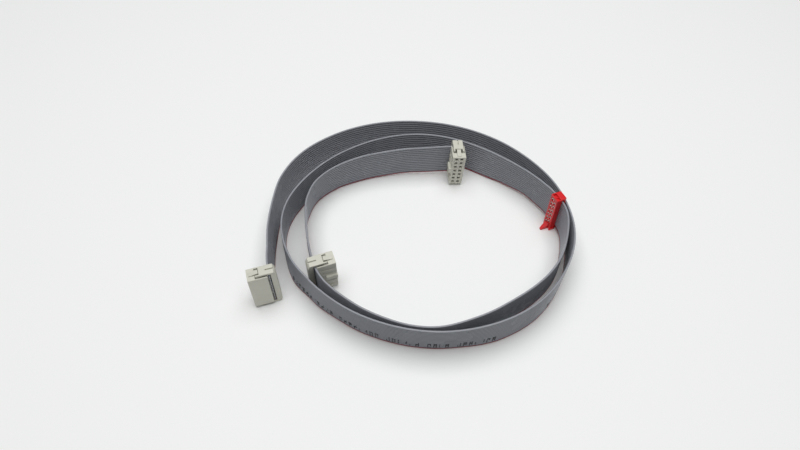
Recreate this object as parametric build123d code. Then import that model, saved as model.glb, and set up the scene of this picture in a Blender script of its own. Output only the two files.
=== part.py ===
"""Flat ribbon cable lying on its edge in two loose turns, with four insulation displacement connectors.

Three grey sockets and one red connector share one grey ribbon of fourteen wires. Units are millimetres,
+Z is up, and the sockets stand on z = 0. Each connector is drawn in a frame of its own first: X points
out of its mating face, Y runs along the ribbon, and the origin is the middle of the ribbon it grips.
"""

from build123d import *
import math
import os

# Ribbon, with one row of contacts for every two of its wires
ROWS = 7
WIRES = 2 * ROWS
WIRE_PITCH = 1.27
RIBBON_THICK = 0.9
RIBBON_WIDTH = WIRES * WIRE_PITCH

# Route of the ribbon seen from above, as hand-chosen corner points from the first socket to the last.
# The red connector and the middle socket each sit half-way between two stretches.
ROUTE_TO_RED = [
    (-60.1, -35.8), (-64.4, -22.1), (-65.9, 1.9), (-62.9, 28.9), (-41.4, 50.4), (-14.4, 60.5),
    (16.6, 59.1), (42.6, 46.9), (64.2, 24.9), (71.7, -3.1), (66.1, -28.1), (46.6, -50.1),
    (19.6, -60.3), (-6.4, -59.5), (-30.4, -49.6), (-49.9, -31.6), (-59.9, -9.1), (-57.4, 11.4),
    (-42.4, 32.4), (-19.9, 46.9), (4.6, 51.4), (28.9, 44.1), (50.1, 28.9), (63.2, 14.4),
]
ROUTE_TO_MIDDLE = [
    (68.5, 2.6), (66.9, -10.1), (59.6, -28.1), (44.1, -41.9), (24.1, -54.1), (4.1, -59.4),
    (-18.4, -52.1), (-32.9, -42.1), (-40.9, -33.7),
]
ROUTE_TO_END = [
    (-45, -22.5), (-48.4, -8.1), (-50, 7.9), (-44.9, 21.9), (-30.4, 32.9), (-10.4, 38.9),
    (9.5, 41.1), (23.1, 42),
]
ROUTE = ROUTE_TO_RED + ROUTE_TO_MIDDLE + ROUTE_TO_END
ARC_SHARE = 0.45

# Grey socket, shared by all its pieces
PITCH = 2 * WIRE_PITCH
GRIP_GAP = 0.2
SOCKET_WIDTH = 6.5
BODY_MARGIN = 0.26
BODY_LENGTH = RIBBON_WIDTH + 2 * BODY_MARGIN
MATE_REACH = 8.9
CUT_END_INSET = 0.6
SOFT_EDGE = 0.25

# How far each grey socket leans about its own X as it lies, in degrees, with its top towards -Y
LEANS = {"outer_end": 2.3, "middle": 4.0, "inner_end": -3.2}

# Grey socket body
CAVITY_WIDTH = 1.3
CAVITY_WALL = 0.34
CAVITY_HEIGHT = PITCH - CAVITY_WALL
MATE_WALL = 0.9
PIN_HOLE = 1.15
FUNNEL_MOUTH = 1.7
FUNNEL_DEPTH = 0.45
KEY_HEIGHT = 2.6
KEY_PROUD = 1.1
KEY_RUN = 5.0
PANEL_DEPTH = 0.3
PANEL_MARGIN = 2.15
PANEL_KEY_GAP = 0.6
PANEL_RIB = 1.5
PANEL_SETBACK = 1.3
RAMP_WIDTH = 2.0
RAMP_RISE = 1.0
RAMP_CREST = 0.5
RAMP_SETBACK = 0.8
RAMP_TOE = 0.35
RAMP_GAP = 0.25
CHANNEL_DEPTH = 0.75
CHANNEL_GAP = 0.2
LIP = 0.4

# Grey socket cover
COVER_WIDTH = 4.8
COVER_BACK = 3.0
ARM_THICK = 0.95
ARM_GAP = 0.1
ARM_REAR = 2.1
ARM_REACH = 3.9
PRONG_RUN = 1.6
PRONG_WIDTH = 0.6
COVER_SHOULDER = 0.9
COVER_SLIT_RUN = 3.3
COVER_SLIT_WIDTH = 0.6
COVER_SLIT_DEPTH = 0.7

# Grey socket contacts
CONTACT_WIDTH = 0.6
CONTACT_CLEAR = 0.1
BEAM_THICK = 0.32
BEAM_GAP = 0.62
BEAM_LIP = 0.25
WEB_DEPTH = 1.0
WEB_HEIGHT = 1.5
FORK_CLEAR = 0.045
FORK_HALF = (CAVITY_HEIGHT - WIRE_PITCH) / 2 - FORK_CLEAR
FORK_SLOT = 0.24
FORK_LENGTH = 1.0
FORK_ROOT = 0.35
FORK_GAP = 0.05

# Red connector
RED_WIDTH = 5.0
RED_EAR_GAP = 0.25
RED_EAR_WALL = 1.06
RED_LENGTH = RIBBON_WIDTH + 2 * (RED_EAR_GAP + RED_EAR_WALL)
RED_REACH = 3.35
RED_COLUMN = 0.9
RED_SLOT_WIDTH = 1.4
RED_SLOT_WALL = 0.84
RED_SLOT_HEIGHT = PITCH - RED_SLOT_WALL
RED_FLOOR = 0.5
RED_POCKET_RIM = 0.55
RED_POCKET_DEPTH = 1.0
RED_POCKET_RIB = 0.6
TOE_ROOT = 2.8
TOE_TIP = 1.2
TOE_SKEW = 0.6
TOE_REACH = 3.7
TOE_THICK = 0.6
TOE_RISE = 2.6
HEEL_PROUD = 0.5
HEEL_RISE = 1.3
HEEL_ROUND = 0.4
RED_COVER_THICK = 1.0
RED_COVER_WIDTH = 4.9
LOOP_OUTER = 0.62
LOOP_THICK = 0.2
LOOP_LEG = 0.55
LOOP_SINK = 0.15

ARM_FACE = BODY_LENGTH / 2 + ARM_GAP
SOCKET_TOP = ARM_FACE + ARM_THICK
GRIP = RIBBON_THICK / 2 + GRIP_GAP
MID_HEIGHT = SOCKET_TOP


def slab(x_span, y_span, z_span):
    """A box given by its lowest and highest X, Y and Z."""
    size = [high - low for low, high in (x_span, y_span, z_span)]
    middle = [(high + low) / 2 for low, high in (x_span, y_span, z_span)]
    return Pos(*middle) * Box(*size)


def side_profile(points, y_span):
    """A closed X-Z outline pushed through from the lower to the higher Y."""
    face = Plane.XZ.offset(-y_span[1]) * make_face(Polyline(*points, close=True))
    return extrude(face, y_span[1] - y_span[0])


# Ribbon

def route_radii():
    """One radius for each corner: as large as its two runs allow."""
    radii = []
    for before, corner, after in zip(ROUTE, ROUTE[1:], ROUTE[2:]):
        run_in = Vector(*corner) - Vector(*before)
        run_out = Vector(*after) - Vector(*corner)
        turn = math.radians(run_in.get_angle(run_out))
        radii.append(ARC_SHARE * min(run_in.length, run_out.length) / math.tan(turn / 2))
    return radii


def ribbon():
    """The plain band: a thin upright rectangle along straight runs and tangent arcs."""
    radii = route_radii()
    path = FilletPolyline(*ROUTE, radius=radii)
    start = Plane(origin=path @ 0, z_dir=path % 0, x_dir=(0, 0, 1))
    band = sweep(start * Rectangle(RIBBON_WIDTH, RIBBON_THICK), path=path)
    print("corner radii", " ".join(f"{radius:.0f}" for radius in radii))
    print(f"ribbon length {path.length:.1f}, volume {band.volume:.1f} against",
          f"{path.length * RIBBON_WIDTH * RIBBON_THICK:.1f}")
    return Pos(0, 0, MID_HEIGHT) * band


def seat(behind, ahead, spot, facing=1, lean=0.0):
    """Where a connector grips the run between two points, with its Y along (1) or against (-1) the run.

    A leaning connector is tipped about its own X and lifted, so that its lowest edge stands on z = 0.
    """
    way = (ahead - behind) * facing
    yaw = math.degrees(math.atan2(way.Y, way.X)) - 90
    tilt = math.radians(abs(lean))
    height = MID_HEIGHT * math.cos(tilt) + COVER_WIDTH / 2 * math.sin(tilt)
    return Location((spot.X, spot.Y, height), (0, 0, yaw)) * Rot(lean, 0, 0)


def end_seat(tip, inward, lean):
    """A socket on an end of the ribbon, which is cut off just inside the socket's far side."""
    tip, inward = Vector(*tip), Vector(*inward)
    inset = (inward - tip).normalized() * (SOCKET_WIDTH / 2 - CUT_END_INSET)
    return seat(tip, inward, tip + inset, facing=-1, lean=lean)


def mid_seat(behind, ahead, lean=0.0):
    """A connector half-way along a run of the route."""
    behind, ahead = Vector(*behind), Vector(*ahead)
    return seat(behind, ahead, (behind + ahead) / 2, lean=lean)


# Grey socket

def row_heights():
    return [(row - (ROWS - 1) / 2) * PITCH for row in range(ROWS)]


def contact_hole():
    """One cavity with its pin hole and funnel, cut from the mating face to the ribbon side."""
    wall = MATE_REACH - MATE_WALL
    cavity = slab((0, wall), (-CAVITY_WIDTH / 2, CAVITY_WIDTH / 2), (-CAVITY_HEIGHT / 2, CAVITY_HEIGHT / 2))
    hole = slab((wall, MATE_REACH), (-PIN_HOLE / 2, PIN_HOLE / 2), (-PIN_HOLE / 2, PIN_HOLE / 2))
    step = (FUNNEL_MOUTH - PIN_HOLE) / 2
    funnel = Wedge(FUNNEL_MOUTH, FUNNEL_DEPTH, FUNNEL_MOUTH, step, step, step + PIN_HOLE, step + PIN_HOLE)
    return cavity + hole + Pos(MATE_REACH - FUNNEL_DEPTH / 2, 0, 0) * Rot(0, 0, 90) * funnel


def catch_ramp():
    """The wedge on each end of the body that the bar of the cover's arm snaps behind."""
    end = BODY_LENGTH / 2
    heel = ARM_REACH + RAMP_GAP
    toe = MATE_REACH - RAMP_SETBACK
    root = end - SOFT_EDGE
    outline = [(heel, root), (heel, end + RAMP_RISE), (heel + RAMP_CREST, end + RAMP_RISE),
               (toe, end + RAMP_TOE), (toe, root)]
    return side_profile(outline, (-RAMP_WIDTH / 2, RAMP_WIDTH / 2))


def end_channels():
    """The channels beside the ramp on the body's upper end, under the prongs of the cover's arm."""
    end = BODY_LENGTH / 2
    reach = ARM_REACH + PRONG_RUN + CHANNEL_GAP
    cuts = []
    for side in (-1, 1):
        across = sorted((side * RAMP_WIDTH / 2, side * (SOCKET_WIDTH / 2 - LIP)))
        cuts.append(slab((0, reach), across, (end - CHANNEL_DEPTH, SOCKET_TOP)))
    return cuts


def side_panels():
    """Shallow ribbed panels on the keyed side, above and below the key."""
    low = KEY_HEIGHT / 2 + PANEL_KEY_GAP
    high = BODY_LENGTH / 2 - PANEL_MARGIN
    field = (high - low - PANEL_RIB) / 2
    depth = (-SOCKET_WIDTH / 2, -SOCKET_WIDTH / 2 + PANEL_DEPTH)
    x_span = (GRIP + PANEL_SETBACK, MATE_REACH)
    cuts = []
    for side in (-1, 1):
        for start in (low, high - field):
            height = sorted((side * start, side * (start + field)))
            cuts.append(slab(x_span, depth, height))
    return cuts


def socket_body():
    """Moulded insulator with two columns of contact cavities, the key and the two catches."""
    half = SOCKET_WIDTH / 2
    block = slab((GRIP, MATE_REACH), (-half, half), (-BODY_LENGTH / 2, BODY_LENGTH / 2))
    block = fillet(block.edges().filter_by(Axis.X) + block.edges().filter_by(Axis.Z), SOFT_EDGE)
    key = slab((MATE_REACH - KEY_RUN, MATE_REACH), (-half - KEY_PROUD, -half + SOFT_EDGE),
               (-KEY_HEIGHT / 2, KEY_HEIGHT / 2))
    key = chamfer(key.edges().filter_by(Axis.X).group_by(Axis.Y)[0], SOFT_EDGE)
    block -= side_panels()
    block += key
    for ramp in (catch_ramp(), mirror(catch_ramp(), Plane.XY)):
        block += ramp
    for cut in end_channels():
        block -= [cut, mirror(cut, Plane.XY)]
    hole = contact_hole()
    holes = [Pos(0, column * PITCH / 2, height) * hole for column in (-1, 1) for height in row_heights()]
    return block - holes


def socket_cover():
    """The bar behind the ribbon, with an arm at each end that ends in two prongs beside the ramp."""
    shoulder = SOCKET_TOP - COVER_SHOULDER
    prong_end = ARM_REACH + PRONG_RUN
    upper = [(-COVER_BACK, shoulder - COVER_SHOULDER), (-COVER_BACK + COVER_SHOULDER / 2, shoulder),
             (-ARM_REAR, SOCKET_TOP), (prong_end, SOCKET_TOP), (prong_end, ARM_FACE), (-GRIP, ARM_FACE)]
    lower = [(x, -z) for x, z in reversed(upper)]
    cover = side_profile(upper + lower, (-COVER_WIDTH / 2, COVER_WIDTH / 2))
    cover = fillet(cover.edges().filter_by(Axis.Z).group_by(Axis.X)[0], SOFT_EDGE)
    slit = slab((-COVER_BACK, COVER_SLIT_RUN - ARM_REAR), (-COVER_SLIT_WIDTH / 2, COVER_SLIT_WIDTH / 2),
                (SOCKET_TOP - COVER_SLIT_DEPTH, SOCKET_TOP))
    inside = COVER_WIDTH / 2 - PRONG_WIDTH
    window = slab((ARM_REACH, prong_end), (-inside, inside), (-SOCKET_TOP, SOCKET_TOP))
    return cover - [slit, mirror(slit, Plane.XY), window]


def socket_contact(fork_side):
    """A stamped fork: two beams that hold a pin, and a slotted tip that pierces beside its own wire."""
    tip = RIBBON_THICK / 2 + FORK_GAP
    slot_end = tip + FORK_LENGTH
    web_low = slot_end + FORK_ROOT
    web_high = web_low + WEB_DEPTH
    beam_end = MATE_REACH - MATE_WALL - CONTACT_CLEAR
    inner = BEAM_GAP / 2
    outer = inner + BEAM_THICK
    centre = fork_side * WIRE_PITCH / 2
    outline = [
        (web_low, -WEB_HEIGHT / 2), (web_high, -WEB_HEIGHT / 2), (web_high, -outer),
        (beam_end, -outer + BEAM_LIP), (beam_end, -inner + BEAM_LIP), (web_high, -inner),
        (web_high, inner), (beam_end, inner - BEAM_LIP), (beam_end, outer - BEAM_LIP), (web_high, outer),
        (web_high, WEB_HEIGHT / 2), (web_low, WEB_HEIGHT / 2),
    ]
    plate = side_profile(outline, (-CONTACT_WIDTH / 2, CONTACT_WIDTH / 2))
    fork = [
        (tip, centre - FORK_HALF), (tip, centre - FORK_SLOT / 2), (slot_end, centre - FORK_SLOT / 2),
        (slot_end, centre + FORK_SLOT / 2), (tip, centre + FORK_SLOT / 2), (tip, centre + FORK_HALF),
        (web_low, centre + FORK_HALF), (web_low, centre - FORK_HALF),
    ]
    return plate + side_profile(fork, (-CONTACT_WIDTH / 2, CONTACT_WIDTH / 2))


def socket_contacts(column):
    """One column of seven contacts; the two columns reach for odd and even wires."""
    contact = socket_contact(column)
    return [Pos(0, column * PITCH / 2, height) * contact for height in row_heights()]


# Red connector

def red_heights(column):
    """The two columns are staggered, so that each contact stands over its own wire."""
    return [height - column * WIRE_PITCH / 2 for height in row_heights()]


def red_foot():
    """The sloping toe at the bottom of the mating face, and the low heel beside it."""
    base = -RED_LENGTH / 2
    root = RED_REACH - SOFT_EDGE
    tip = RED_REACH + TOE_REACH
    slope = side_profile([(root, base), (tip, base), (tip, base + TOE_THICK), (RED_REACH, base + TOE_RISE),
                          (root, base + TOE_RISE)], (-RED_WIDTH / 2, RED_WIDTH / 2))
    plan = make_face(Polyline((root, -TOE_ROOT / 2), (tip, TOE_SKEW - TOE_TIP / 2),
                              (tip, TOE_SKEW + TOE_TIP / 2), (root, TOE_ROOT / 2), close=True))
    toe = slope & (Pos(0, 0, base) * extrude(plan, TOE_RISE))
    toe = fillet(toe.edges().filter_by(Axis.Z).group_by(Axis.X)[-1], TOE_TIP / 2 - SOFT_EDGE)
    side = RED_WIDTH / 2
    heel = slab((GRIP, RED_REACH + SOFT_EDGE), (side - HEEL_PROUD, side + HEEL_PROUD), (base, base + HEEL_RISE))
    heel = fillet(heel.edges().filter_by(Axis.Z).group_by(Axis.X)[-1], HEEL_ROUND)
    return [toe, heel]


def red_body():
    """Thin moulded strip with staggered contact slots, an end pocket and a foot."""
    half = RED_WIDTH / 2
    end = RED_LENGTH / 2
    strip = slab((GRIP, RED_REACH), (-half, half), (-end, end))
    strip = fillet(strip.edges().filter_by(Axis.Z).group_by(Axis.X)[-1], SOFT_EDGE)
    strip += red_foot()
    pocket = slab((GRIP + RED_POCKET_RIM, RED_REACH - RED_POCKET_RIM),
                  (-half + RED_POCKET_RIM, half - RED_POCKET_RIM), (end - RED_POCKET_DEPTH, end))
    pocket -= slab((GRIP, RED_REACH), (-RED_POCKET_RIB / 2, RED_POCKET_RIB / 2),
                   (end - RED_POCKET_DEPTH, end - RED_POCKET_DEPTH / 2))
    slots = []
    for column in (-1, 1):
        for height in red_heights(column):
            slots.append(Pos(0, column * RED_COLUMN, height) * slab(
                (GRIP + RED_FLOOR, RED_REACH), (-RED_SLOT_WIDTH / 2, RED_SLOT_WIDTH / 2),
                (-RED_SLOT_HEIGHT / 2, RED_SLOT_HEIGHT / 2)))
    return strip - pocket - slots


def red_cover():
    """The strip behind the ribbon, with an ear at each end that closes on the body."""
    back = GRIP + RED_COVER_THICK
    end = RED_LENGTH / 2
    inside = RIBBON_WIDTH / 2 + RED_EAR_GAP
    outline = [(-back, -end), (GRIP, -end), (GRIP, -inside), (-GRIP, -inside),
               (-GRIP, inside), (GRIP, inside), (GRIP, end), (-back, end)]
    cover = side_profile(outline, (-RED_COVER_WIDTH / 2, RED_COVER_WIDTH / 2))
    return chamfer(cover.edges().filter_by(Axis.Z).group_by(Axis.X)[0], SOFT_EDGE)


def red_contacts(column):
    """One column of bent spring loops, each standing on the floor of its slot."""
    front = RED_REACH - LOOP_SINK
    inner = LOOP_OUTER - LOOP_THICK
    arch = Circle(LOOP_OUTER) - Circle(inner)
    arch -= Pos(0, -LOOP_OUTER) * Rectangle(2 * LOOP_OUTER, 2 * LOOP_OUTER)
    for side in (-1, 1):
        arch += Pos(side * (inner + LOOP_THICK / 2), -LOOP_LEG / 2) * Rectangle(LOOP_THICK, LOOP_LEG)
    loop = extrude(Plane.YZ.offset(GRIP + RED_FLOOR) * arch, front - GRIP - RED_FLOOR)
    return [Pos(0, column * RED_COLUMN, height) * loop for height in red_heights(column)]


# Assembly

GREY_SEATS = {
    "outer_end": end_seat(ROUTE[0], ROUTE[1], LEANS["outer_end"]),
    "middle": mid_seat(ROUTE_TO_MIDDLE[-1], ROUTE_TO_END[0], LEANS["middle"]),
    "inner_end": end_seat(ROUTE[-1], ROUTE[-2], LEANS["inner_end"]),
}
RED_SEAT = mid_seat(ROUTE_TO_RED[-1], ROUTE_TO_MIDDLE[0])
GREY_COLUMNS = {"keyed_side": -1, "plain_side": 1}
RED_COLUMNS = {"left_side": -1, "right_side": 1}

parts = {"flat_cable": [ribbon()]}
body = socket_body()
cover = socket_cover()
for place, spot in GREY_SEATS.items():
    parts[f"{place}_socket_body"] = [spot * body]
    parts[f"{place}_socket_cover"] = [spot * cover]
    for side, column in GREY_COLUMNS.items():
        parts[f"{place}_contacts_{side}"] = [spot * contact for contact in socket_contacts(column)]
parts["red_connector_body"] = [RED_SEAT * red_body()]
parts["red_connector_cover"] = [RED_SEAT * red_cover()]
for side, column in RED_COLUMNS.items():
    parts[f"red_connector_contacts_{side}"] = [RED_SEAT * contact for contact in red_contacts(column)]

os.makedirs("parts", exist_ok=True)
for name, solids in parts.items():
    shape = solids[0] if len(solids) == 1 else Compound(children=solids)
    export_step(shape, f"parts/{name}.step")
for place, spot in {**GREY_SEATS, "red": RED_SEAT}.items():
    reach = RED_REACH if place == "red" else MATE_REACH
    face = spot * Pos(reach, 0, 0)
    axis = (spot * Pos(reach + 1, 0, 0)).position - face.position
    print(place, "mating face", [round(value, 3) for value in face.position], "axis", [round(v, 5) for v in axis])
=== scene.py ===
"""Grey flat ribbon cable with three keyed sockets and one red connector, lying on its edge in loose turns."""

import math

import bmesh
import bpy
from mathutils import Matrix, Vector


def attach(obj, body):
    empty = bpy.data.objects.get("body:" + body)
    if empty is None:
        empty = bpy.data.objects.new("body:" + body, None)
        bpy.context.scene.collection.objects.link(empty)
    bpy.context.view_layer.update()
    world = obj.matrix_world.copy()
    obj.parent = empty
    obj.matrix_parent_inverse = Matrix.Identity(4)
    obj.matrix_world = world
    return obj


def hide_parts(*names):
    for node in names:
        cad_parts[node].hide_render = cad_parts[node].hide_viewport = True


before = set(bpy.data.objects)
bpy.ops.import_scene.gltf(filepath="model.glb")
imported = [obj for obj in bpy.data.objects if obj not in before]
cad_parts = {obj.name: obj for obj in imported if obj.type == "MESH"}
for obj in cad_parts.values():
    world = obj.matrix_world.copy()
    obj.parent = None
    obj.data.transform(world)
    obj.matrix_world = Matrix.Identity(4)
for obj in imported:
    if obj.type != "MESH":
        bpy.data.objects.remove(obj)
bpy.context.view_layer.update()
MM = 0.001


# Camera
# The photograph looks down at the coil from the front, a little above half a right angle, and is tipped
# by half a degree. Its place and lens come from the standard pitches of the ribbon and the socket holes.
EYE = Vector((-0.00686, -0.17111, 0.22457))
LOOK_DOWN = 51.586
ROLL = 0.474
SENSOR = 36.0
LENS = 27.0

camera_data = bpy.data.cameras.new("photo_camera")
camera_data.sensor_width = SENSOR
camera_data.lens = LENS
camera_data.clip_start = 0.01
camera_data.clip_end = 20.0
camera = bpy.data.objects.new("photo_camera", camera_data)
bpy.context.collection.objects.link(camera)
tilt = Matrix.Rotation(math.radians(90 - LOOK_DOWN), 4, "X")
camera.matrix_world = Matrix.Translation(EYE) @ tilt @ Matrix.Rotation(math.radians(ROLL), 4, "Z")
bpy.context.scene.camera = camera


# Flat cable
# One extruded PVC ribbon of fourteen wires, side by side on a 1.27 mm pitch, standing on its edge. The
# rounded back of each wire shows as a rib, the first wire's edge is marked red, and ink marks run beside it.
WIRES = 14
WIRE_PITCH = 1.27 * MM
RIBBON_WIDTH = WIRES * WIRE_PITCH
RIB_HALF = 0.45 * MM
WEB_HALF = 0.17 * MM
RIB_STEPS = (0.0, 0.15, 0.2, 0.3, 0.5, 0.7, 0.8, 0.85)
RIBBON_MIDDLE = 10.2 * MM
STATIONS_PER_RUN = 9
EDGE_ROUND = 0.2 * MM
PINCH = 0.7
PINCH_RUN = 3.5 * MM
CORE = 0.19 * MM
GROOVE_SHADE_FADE = 0.16 * MM
RED_EDGE = 0.92 * MM
INK_CELL = 2.45 * MM
INK_LOW = 1.45 * MM
INK_HEIGHT = 3.7 * MM
INK_GROUPS = [
    (278, 281), (308.5, 314.3), (317.3, 325), (328.2, 331), (332.2, 338), (340.3, 342.4), (344.4, 346.5),
    (348.9, 355.3), (357.5, 363.7), (366.5, 376.5), (379.2, 390), (392, 407),
]
ROUTE = [
    (-60.1, -35.8), (-64.4, -22.1), (-65.9, 1.9), (-62.9, 28.9), (-41.4, 50.4), (-14.4, 60.5),
    (16.6, 59.1), (42.6, 46.9), (64.2, 24.9), (71.7, -3.1), (66.1, -28.1), (46.6, -50.1),
    (19.6, -60.3), (-6.4, -59.5), (-30.4, -49.6), (-49.9, -31.6), (-59.9, -9.1), (-57.4, 11.4),
    (-42.4, 32.4), (-19.9, 46.9), (4.6, 51.4), (28.9, 44.1), (50.1, 28.9), (63.2, 14.4),
    (68.5, 2.6), (66.9, -10.1), (59.6, -28.1), (44.1, -41.9), (24.1, -54.1), (4.1, -59.4),
    (-18.4, -52.1), (-32.9, -42.1), (-40.9, -33.7), (-45, -22.5), (-48.4, -8.1), (-50, 7.9),
    (-44.9, 21.9), (-30.4, 32.9), (-10.4, 38.9), (9.5, 41.1), (23.1, 42),
]
# How the loose turns lean: at each distance along the ribbon, how far its upper and its lower edge lie
# inside the upright line, in millimetres. It stands upright and clear of the table where a connector
# holds it, and sinks to the table between them.
LEANING = [
    (0, 0, 0), (8, 0, 0), (18, 0.6, 1.1), (30, 0.3, 1.2), (60, 0.1, 0.8), (85, -1.0, -0.4),
    (180, -1.1, -0.5), (210, -0.2, 0.2), (240, 0, 0.4), (266, 0.6, 1.2), (286, 0.3, 0.7), (306, 0.5, 1.1),
    (328, 0.6, 2.4), (350, 0.7, 2.4), (376, 0.5, 1.9), (394, 0.4, 0.7), (408, -0.4, -1.1),
    (422, -0.5, -0.9), (446, -0.7, -1.6), (480, -1.1, -1.5), (530, -1.3, -1.0), (554, -1.1, -0.1),
    (566, -0.8, -1.1), (576, -0.5, -1.7), (588, -0.2, -0.7), (596, 0, 0), (612, 0, 0), (630, -0.3, -0.3),
    (648, -0.3, 0), (668, 0.2, 1.2), (685, 0.6, 2.2), (700, 0.5, 2.1), (716, 0.2, 1.5), (732, 0.1, 0.5),
    (744, 0, 0), (768, 0, 0), (784, 0.2, -0.9), (796, -0.3, -2.1), (808, -0.8, -2.8), (818, -1.0, -2.5),
    (832, -1.1, -1.6), (850, -0.7, -1.2), (868, -0.1, -0.2), (876, 0, 0), (900, 0, 0),
]
HELD_AT = (0.0, 604 * MM, 756 * MM, 884 * MM)
SINK = 1.27 * MM
SINK_RUN = 60 * MM


class Mask:
    """A number socket that takes part in arithmetic; each operation adds its Math node."""

    def __init__(self, tree, socket):
        self.tree = tree
        self.socket = socket

    def math(self, operation, *others, clamp=False):
        return node(self.tree, "ShaderNodeMath", {"operation": operation, "use_clamp": clamp},
                    {index: value for index, value in enumerate((self, *others))})

    def __add__(self, other):
        return self.math("ADD", other)

    def __sub__(self, other):
        return self.math("SUBTRACT", other)

    def __mul__(self, other):
        return self.math("MULTIPLY", other)

    def __truediv__(self, other):
        return self.math("DIVIDE", other)

    def __gt__(self, other):
        return self.math("GREATER_THAN", other)

    def __lt__(self, other):
        return self.math("LESS_THAN", other)

    def __rsub__(self, other):
        return node(self.tree, "ShaderNodeMath", {"operation": "SUBTRACT"}, {0: other, 1: self})

    def __abs__(self):
        return self.math("ABSOLUTE")

    __radd__ = __add__
    __rmul__ = __mul__


def node(tree, kind, settings=None, inputs=None, output=0):
    """Adds a node: its settings first, then the values or links of its sockets. Gives one output as a Mask."""
    made = tree.nodes.new(kind)
    for name, value in (settings or {}).items():
        if name == "stops":
            while len(made.color_ramp.elements) < len(value):
                made.color_ramp.elements.new(0.5)
            for element, (place, colour) in zip(made.color_ramp.elements, value):
                element.position = place
                element.color = (*colour, 1.0)
        else:
            setattr(made, name, value)
    for name, value in (inputs or {}).items():
        if isinstance(value, Mask):
            tree.links.new(value.socket, made.inputs[name])
        else:
            made.inputs[name].default_value = value
    return Mask(tree, made.outputs[output])


def mix_colour(tree, factor, first, second):
    """Two colours, each a value or a link, mixed by a mask."""
    colours = [(*value, 1.0) if isinstance(value, tuple) else value for value in (first, second)]
    return node(tree, "ShaderNodeMix", {"data_type": "RGBA"}, {0: factor, 6: colours[0], 7: colours[1]}, 2)


def new_material(name, **finish):
    """A material with its Principled shader, whose plain sockets are set by name."""
    material = bpy.data.materials.new(name)
    material.use_nodes = True
    shader = material.node_tree.nodes["Principled BSDF"]
    for socket, value in finish.items():
        shader.inputs[socket.replace("_", " ")].default_value = value
    return material, material.node_tree, shader


def feed(tree, mask, shader, socket):
    tree.links.new(mask.socket, shader.inputs[socket])


def cable_line():
    """The points of the cable's centre line, read from its smooth spline."""
    data = bpy.data.curves.new("cable_line", "CURVE")
    data.dimensions = "3D"
    spline = data.splines.new("NURBS")
    spline.points.add(len(ROUTE) - 1)
    for point, (x, y) in zip(spline.points, ROUTE):
        point.co = (x * MM, y * MM, RIBBON_MIDDLE, 1.0)
    spline.order_u = 3
    spline.use_endpoint_u = True
    data.resolution_u = STATIONS_PER_RUN
    line = bpy.data.objects.new("cable_line", data)
    bpy.context.collection.objects.link(line)
    bpy.context.view_layer.update()
    mesh = bpy.data.meshes.new_from_object(line.evaluated_get(bpy.context.evaluated_depsgraph_get()))
    points = [vertex.co.copy() for vertex in mesh.vertices]
    bpy.data.objects.remove(line)
    bpy.data.meshes.remove(mesh)
    return points


def rib_swell(across):
    """Half the ribbon's thickness at a height: a round wire, or the thin web between two."""
    off_centre = (across / WIRE_PITCH) % 1 - 0.5
    chord = RIB_HALF ** 2 - (off_centre * WIRE_PITCH) ** 2
    return max(WEB_HALF, math.sqrt(max(chord, 0)))


def eased(share):
    return share * share * (3 - 2 * share)


def lean_at(distance):
    """How far the upper and the lower edge lie inside the upright line, eased between the chosen places."""
    for (start, *first), (end, *second) in zip(LEANING, LEANING[1:]):
        if distance < end * MM:
            share = eased((distance / MM - start) / (end - start))
            return [(low + (high - low) * share) * MM for low, high in zip(first, second)]
    return [0.0, 0.0]


def sunk_at(distance):
    """How far the ribbon has sunk from its connectors' height towards the table."""
    from_hold = min(abs(distance - hold) for hold in HELD_AT)
    return SINK * eased(min(from_hold / SINK_RUN, 1))


def station_frames(line):
    """One frame on each point of the line: X through the leaning ribbon, Y up it and Z along it.

    The ribbon is squeezed thinner in the clamps of the two end sockets.
    """
    frames = []
    travelled = 0.0
    for index, point in enumerate(line):
        behind = line[max(index - 1, 0)]
        ahead = line[min(index + 1, len(line) - 1)]
        travelled += (point - behind).length
        way = (ahead - behind).normalized()
        outward = Vector((-way.y, way.x, 0))
        upper, lower = lean_at(travelled)
        middle = point - outward * (upper + lower) / 2 - Vector((0, 0, sunk_at(travelled)))
        rising = Vector((0, 0, 1)) - outward * (upper - lower) / RIBBON_WIDTH
        turned = Matrix((outward, rising, way)).transposed().to_4x4()
        from_end = min((point - line[0]).length, (point - line[-1]).length)
        pinch = PINCH if from_end < PINCH_RUN else 1.0
        frames.append(Matrix.Translation(middle) @ turned @ Matrix.Diagonal((pinch, 1, 1, 1)))
    return frames


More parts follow.
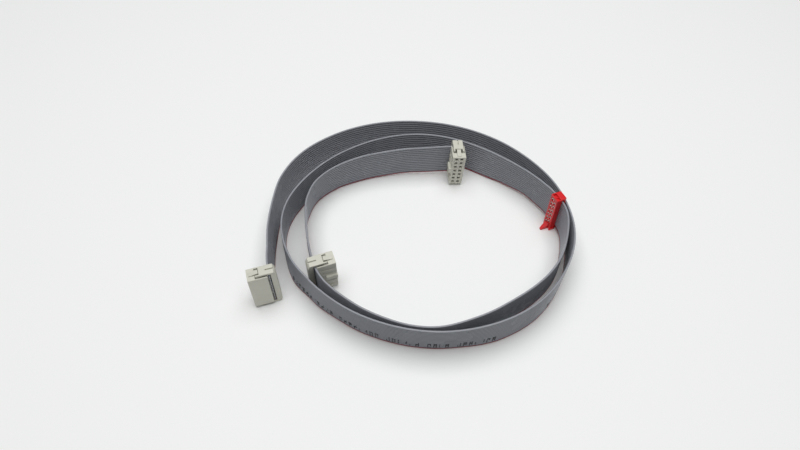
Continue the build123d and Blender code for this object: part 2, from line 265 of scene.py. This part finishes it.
def ribbon_mesh(frames):
    """The ribbed section, drawn once on edge and extruded from each frame to the next."""
    mesh = bmesh.new()
    strip = mesh.verts.layers.float_vector.new("strip")
    heights = [(wire + step) * WIRE_PITCH for wire in range(WIRES) for step in RIB_STEPS]
    heights[0] = EDGE_ROUND
    heights.append(RIBBON_WIDTH - EDGE_ROUND)
    outline = [(rib_swell(across), across) for across in heights]
    outline += [(-thick, across) for thick, across in reversed(outline)]
    ring = []
    for thick, across in outline:
        vertex = mesh.verts.new(frames[0] @ Vector((thick, across - RIBBON_WIDTH / 2, 0)))
        vertex[strip] = (0, across, thick)
        ring.append(vertex)
    edges = [mesh.edges.new((first, second)) for first, second in zip(ring, ring[1:] + ring[:1])]
    caps = [mesh.faces.new(ring)]
    travelled = 0.0
    for before, after in zip(frames, frames[1:]):
        grown = bmesh.ops.extrude_edge_only(mesh, edges=edges)["geom"]
        fresh = [part for part in grown if isinstance(part, bmesh.types.BMVert)]
        edges = [part for part in grown if isinstance(part, bmesh.types.BMEdge)]
        bmesh.ops.transform(mesh, matrix=after @ before.inverted(), verts=fresh)
        travelled += (after.translation - before.translation).length
        for vertex in fresh:
            vertex[strip] = (travelled, *vertex[strip][1:])
    caps += bmesh.ops.edgeloop_fill(mesh, edges=edges)["faces"]
    bmesh.ops.recalc_face_normals(mesh, faces=mesh.faces)
    for face in mesh.faces:
        face.smooth = True
    for cap in caps:
        cap.smooth = False
        cap.material_index = 1
    return mesh


def finished(name, mesh, *materials, body="root"):
    """Turns a bmesh into an object at the origin that rides on the part."""
    data = bpy.data.meshes.new(name)
    mesh.to_mesh(data)
    mesh.free()
    for material in materials:
        data.materials.append(material)
    piece = bpy.data.objects.new(name, data)
    bpy.context.collection.objects.link(piece)
    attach(piece, body)
    return piece


def strip_places(tree):
    """How far along the ribbon, how far up from its marked edge and how far out from its middle."""
    strip = node(tree, "ShaderNodeAttribute", {"attribute_name": "strip"}, output=1)
    return [node(tree, "ShaderNodeSeparateXYZ", inputs={0: strip}, output=axis) for axis in range(3)]


def between(value, low, high):
    return (value > low) * (value < high)


def ink_strokes(tree, along, across, out):
    """Groups of short printed strokes in even cells, standing for no letter, on the outer face only."""
    cells = along / INK_CELL
    cell = cells.math("FLOOR")
    place = cells.math("FRACT")
    height = (across - INK_LOW) / INK_HEIGHT
    dice = [node(tree, "ShaderNodeTexWhiteNoise", {"noise_dimensions": "1D"}, {"W": cell + shift})
            for shift in (0.0, 37.0, 71.0, 113.0)]
    first = between(place, 0.1, 0.25) * (height > dice[0] - 0.3)
    second = between(place, 0.55, 0.7) * (height < dice[1] + 0.35)
    lying = between(height, 0.0, 0.16) * (dice[2] > 0.4)
    lying = lying + between(height, 0.42, 0.58) * (dice[3] > 0.45)
    lying = lying + between(height, 0.84, 1.0) * (dice[1] > 0.45)
    strokes = (first + second + lying * between(place, 0.1, 0.7)).math("MINIMUM", 1.0)
    groups = [between(along, start * MM, end * MM) for start, end in INK_GROUPS]
    return strokes * between(height, 0.0, 1.0) * (out > 0) * sum(groups[1:], groups[0])


def pvc_grey():
    """Satin grey PVC with the red edge of the first wire, the printed ink strokes and painted shade in the
    grooves between the wires.
    """
    material, tree, shader = new_material("ribbon_pvc", Specular_IOR_Level=0.55)
    along, across, out = strip_places(tree)
    place = node(tree, "ShaderNodeTexCoord", output=3)
    cloud = node(tree, "ShaderNodeTexNoise", inputs={"Vector": place, "Scale": 60.0, "Detail": 3.0})
    fine = node(tree, "ShaderNodeTexNoise", inputs={"Vector": place, "Scale": 1400.0, "Detail": 2.0})
    grey = mix_colour(tree, cloud, (0.295, 0.307, 0.338), (0.33, 0.342, 0.376))
    # Painted shade: the thin webs between the inner wires are darkened half way to a dark blue grey, fading
    # out up the round of each wire.
    painted_groove_shade = 1.0 - (abs(out) - WEB_HALF).math("DIVIDE", GROOVE_SHADE_FADE, clamp=True)
    inner = between(across, WIRE_PITCH / 2, RIBBON_WIDTH - WIRE_PITCH / 2)
    grey = mix_colour(tree, painted_groove_shade * inner * 0.5, grey, (0.06, 0.06, 0.075))
    edged = mix_colour(tree, across < RED_EDGE, grey, (0.27, 0.02, 0.035))
    inked = mix_colour(tree, ink_strokes(tree, along, across, out), edged, (0.012, 0.012, 0.018))
    feed(tree, inked, shader, "Base Color")
    feed(tree, cloud * 0.1 + 0.22, shader, "Roughness")
    bump = node(tree, "ShaderNodeBump", inputs={"Height": fine, "Strength": 0.12, "Distance": 0.00004})
    feed(tree, bump, shader, "Normal")
    return material


def cut_end():
    """The sawn end of the ribbon: grey insulation around a bright strand bundle in each wire."""
    material, tree, shader = new_material("ribbon_cut", Roughness=0.55)
    along, across, out = strip_places(tree)
    off_centre = ((across / WIRE_PITCH).math("FRACT") - 0.5) * WIRE_PITCH
    core = node(tree, "ShaderNodeCombineXYZ", inputs={0: off_centre, 1: out})
    radius = node(tree, "ShaderNodeVectorMath", {"operation": "LENGTH"}, {0: core}, output=1)
    colour = mix_colour(tree, radius < CORE, (0.24, 0.245, 0.26), (0.66, 0.64, 0.61))
    feed(tree, colour, shader, "Base Color")
    feed(tree, radius < CORE, shader, "Metallic")
    return material


line = cable_line()
frames = station_frames(line)
cable = finished("ribbon", ribbon_mesh(frames), pvc_grey(), cut_end())
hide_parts("flat_cable")
connector_nodes = [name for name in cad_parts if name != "flat_cable"]


# Grey sockets
# Three insulation displacement sockets, each an injection-moulded body and cover in pale warm grey, snapped
# together over the ribbon. Their faces are finely eroded in the mould and their edges slightly soft.
MERGE = 0.0005 * MM
FLAT_WITHIN = 1.0
SHARP_FROM = 35.0


def moulded(name, material, soft):
    """The CAD piece again, with its triangles merged into faces and its sharp edges softened."""
    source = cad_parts[name]
    mesh = bmesh.new()
    mesh.from_mesh(source.data)
    mesh.transform(source.matrix_world)
    bmesh.ops.remove_doubles(mesh, verts=mesh.verts, dist=MERGE)
    bmesh.ops.dissolve_limit(mesh, angle_limit=math.radians(FLAT_WITHIN), verts=mesh.verts, edges=mesh.edges)
    sharp = [edge for edge in mesh.edges
             if len(edge.link_faces) == 2 and edge.calc_face_angle() > math.radians(SHARP_FROM)]
    bmesh.ops.bevel(mesh, geom=sharp, offset=soft, offset_type="OFFSET", affect="EDGES", segments=2,
                    profile=0.5, material=-1)
    piece = finished(name + "_moulding", mesh, material)
    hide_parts(name)
    return piece


def moulded_plastic(name, first, second, roughness, grain):
    """Opaque moulding with a faint uneven tone and the fine grain of an eroded mould."""
    material, tree, shader = new_material(name, Specular_IOR_Level=0.45)
    place = node(tree, "ShaderNodeTexCoord", output=3)
    cloud = node(tree, "ShaderNodeTexNoise", inputs={"Vector": place, "Scale": 240.0, "Detail": 4.0})
    fine = node(tree, "ShaderNodeTexNoise", inputs={"Vector": place, "Scale": 5200.0, "Detail": 2.0})
    feed(tree, mix_colour(tree, cloud, first, second), shader, "Base Color")
    feed(tree, fine * 0.16 + roughness, shader, "Roughness")
    bump = node(tree, "ShaderNodeBump", inputs={"Height": fine, "Strength": grain, "Distance": 0.00003})
    feed(tree, bump, shader, "Normal")
    return material


grey_plastic = moulded_plastic("grey_moulding", (0.565, 0.56, 0.485), (0.63, 0.625, 0.55), 0.42, 0.35)
for place in ("outer_end", "middle", "inner_end"):
    for part in ("body", "cover"):
        socket = moulded(f"{place}_socket_{part}", grey_plastic, 0.08 * MM)


# Red connector
# A thin board connector moulded in glossy red, in two halves closed over the ribbon, with a sloping toe.
red_plastic = moulded_plastic("red_moulding", (0.64, 0.007, 0.010), (0.70, 0.009, 0.013), 0.24, 0.1)
for part in ("body", "cover"):
    half = moulded(f"red_connector_{part}", red_plastic, 0.07 * MM)


# Contacts
# Stamped and bent spring strip, plated with bright tin: forks in the grey sockets, loops in the red connector.
tin, tree, shader = new_material("tin_plate", Metallic=1.0)
shader.inputs["Base Color"].default_value = (0.75, 0.74, 0.7, 1)
place = node(tree, "ShaderNodeTexCoord", output=3)
rolling = node(tree, "ShaderNodeTexNoise", inputs={"Vector": place, "Scale": 900.0, "Detail": 3.0})
feed(tree, rolling * 0.2 + 0.2, shader, "Roughness")
for name in connector_nodes:
    if "contacts" in name:
        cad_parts[name].data.materials[0] = tin


# Stage
floor_mesh = bmesh.new()
bmesh.ops.create_grid(floor_mesh, x_segments=1, y_segments=1, size=3.0)
floor_data = bpy.data.meshes.new("floor")
floor_mesh.to_mesh(floor_data)
floor_mesh.free()
white, tree, shader = new_material("white_table", Roughness=0.5, Specular_IOR_Level=0.15)
shader.inputs["Base Color"].default_value = (0.885, 0.895, 0.888, 1)
floor_data.materials.append(white)
floor = bpy.data.objects.new("floor", floor_data)
bpy.context.collection.objects.link(floor)

lamp_data = bpy.data.lights.new("ceiling_lamp", "AREA")
lamp_data.shape = "RECTANGLE"
lamp_data.size = 1.1
lamp_data.size_y = 1.1
lamp_data.energy = 13.0
lamp = bpy.data.objects.new("ceiling_lamp", lamp_data)
lamp.location = (0, 0.08, 1.1)
bpy.context.collection.objects.link(lamp)
world = bpy.data.worlds.new("studio")
world.use_nodes = True
world.node_tree.nodes["Background"].inputs["Color"].default_value = (1, 1, 1, 1)
world.node_tree.nodes["Background"].inputs["Strength"].default_value = 0.18
bpy.context.scene.world = world
bpy.context.scene.view_settings.view_transform = "Standard"
